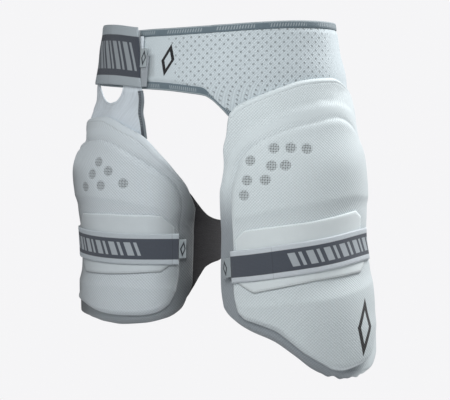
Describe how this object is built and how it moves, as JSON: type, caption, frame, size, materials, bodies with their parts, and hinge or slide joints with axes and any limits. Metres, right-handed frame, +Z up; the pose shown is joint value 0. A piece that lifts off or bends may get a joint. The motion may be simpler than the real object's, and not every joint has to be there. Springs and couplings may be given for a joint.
{
  "type": "cricket thigh guard",
  "caption": "Dual cricket thigh guard: padded waist belt carrying a long outer guard and a shorter inner guard, each with a raised shell and an elastic strap round the thigh.",
  "frame": {"origin": "centre of the waist loop, at the belt's middle height at the front", "axes": "+Z up, -Y the wearer's front, +X towards the outer guard on the lead thigh"},
  "size_m": [0.3979, 0.2186, 0.4544],
  "materials": {
    "mesh_cloth": "white knitted mesh over foam",
    "pad_cloth": "white bonded cloth over moulded foam",
    "patch_cloth": "brushed loop cloth",
    "binding": "woven tape",
    "elastic": "woven elastic",
    "hook_tape": "hook tape",
    "hanger_cloth": "knitted mesh",
    "stretch_cloth": "black stretch knit",
    "label_cloth": "woven label"
  },
  "bodies": {
    "root": {"belt": "mesh_cloth", "belt_top_binding": "binding", "belt_lower_binding": "binding", "outer_pad_base": "pad_cloth", "outer_pad_shell": "pad_cloth", "outer_landing_patch": "patch_cloth", "outer_strap": "elastic", "outer_strap_label": "label_cloth", "hanger": "hanger_cloth", "hanger_binding": "binding", "inner_wing": "stretch_cloth", "inner_pad_base": "pad_cloth", "inner_pad_shell": "pad_cloth", "inner_landing_patch": "patch_cloth", "inner_strap": "elastic", "inner_strap_label": "label_cloth", "waist_hook_end": "hook_tape", "waist_strap": "elastic", "waist_strap_label": "label_cloth"}
  },
  "joints": []
}
